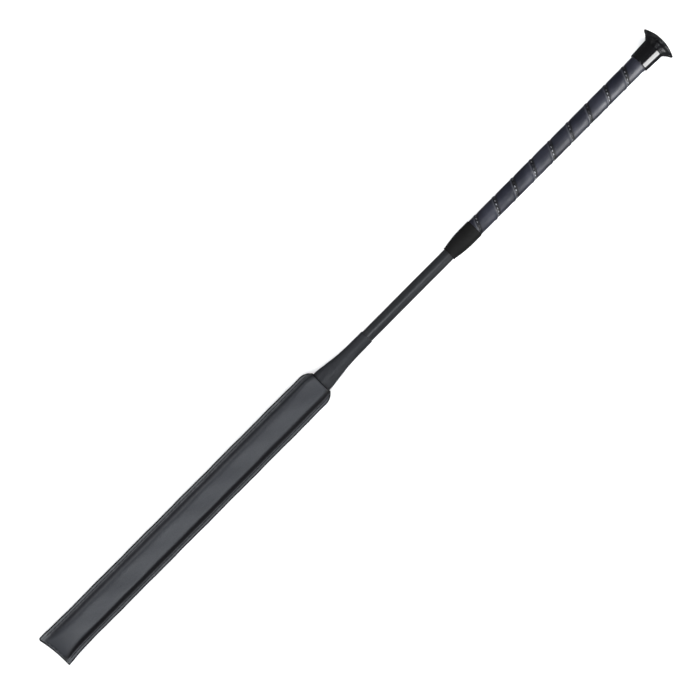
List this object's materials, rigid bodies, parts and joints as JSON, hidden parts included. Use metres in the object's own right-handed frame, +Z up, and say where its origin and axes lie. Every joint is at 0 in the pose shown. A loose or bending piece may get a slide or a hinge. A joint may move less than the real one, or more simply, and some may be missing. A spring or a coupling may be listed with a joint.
{
  "type": "riding crop",
  "caption": "Short padded riding crop with a mushroom cap, a spiral stitched grip, a rubber bell, a cushioned shaft and a long flat padded flap.",
  "frame": {"origin": "under the middle of the crop, level with the lowest point of the cap's rim", "axes": "+X along the crop from the pad's tip to the cap, +Y across the pad, +Z up out of the pad's front face"},
  "size_m": [0.6499, 0.0304, 0.0302],
  "materials": {
    "cap_head": "satin black moulding",
    "cap_sleeve": "gloss black",
    "rod": "pultruded glass fibre",
    "soft_plastic": "soft black vinyl",
    "tube": "moulded black nylon",
    "foam": "closed-cell foam",
    "grip_strip": "grained grip strip, slightly tacky",
    "thread": "waxed polyester thread",
    "tape": "woven tape",
    "bell": "matte black rubber",
    "shaft_cover": "smooth semi-matte black",
    "pad_leather": "grained black leather"
  },
  "bodies": {
    "root": {"cap_head": "cap_head", "cap_sleeve": "cap_sleeve", "core_rod": "rod", "rod_tip_cap": "soft_plastic", "handle_tube": "tube", "grip_cushion": "foam", "grip_wrap": "grip_strip", "grip_stitching": "thread", "grip_tape": "tape", "bell_ferrule": "bell", "shaft_padding": "foam", "shaft_cover": "shaft_cover", "cover_whipping": "thread", "neck_filler": "soft_plastic", "neck_cover": "pad_leather", "pad_face_front": "pad_leather", "pad_face_back": "pad_leather", "pad_cushion_front": "foam", "pad_cushion_back": "foam", "pad_stitching_left": "thread", "pad_stitching_right": "thread", "pad_stitching_tip": "thread"}
  },
  "joints": []
}
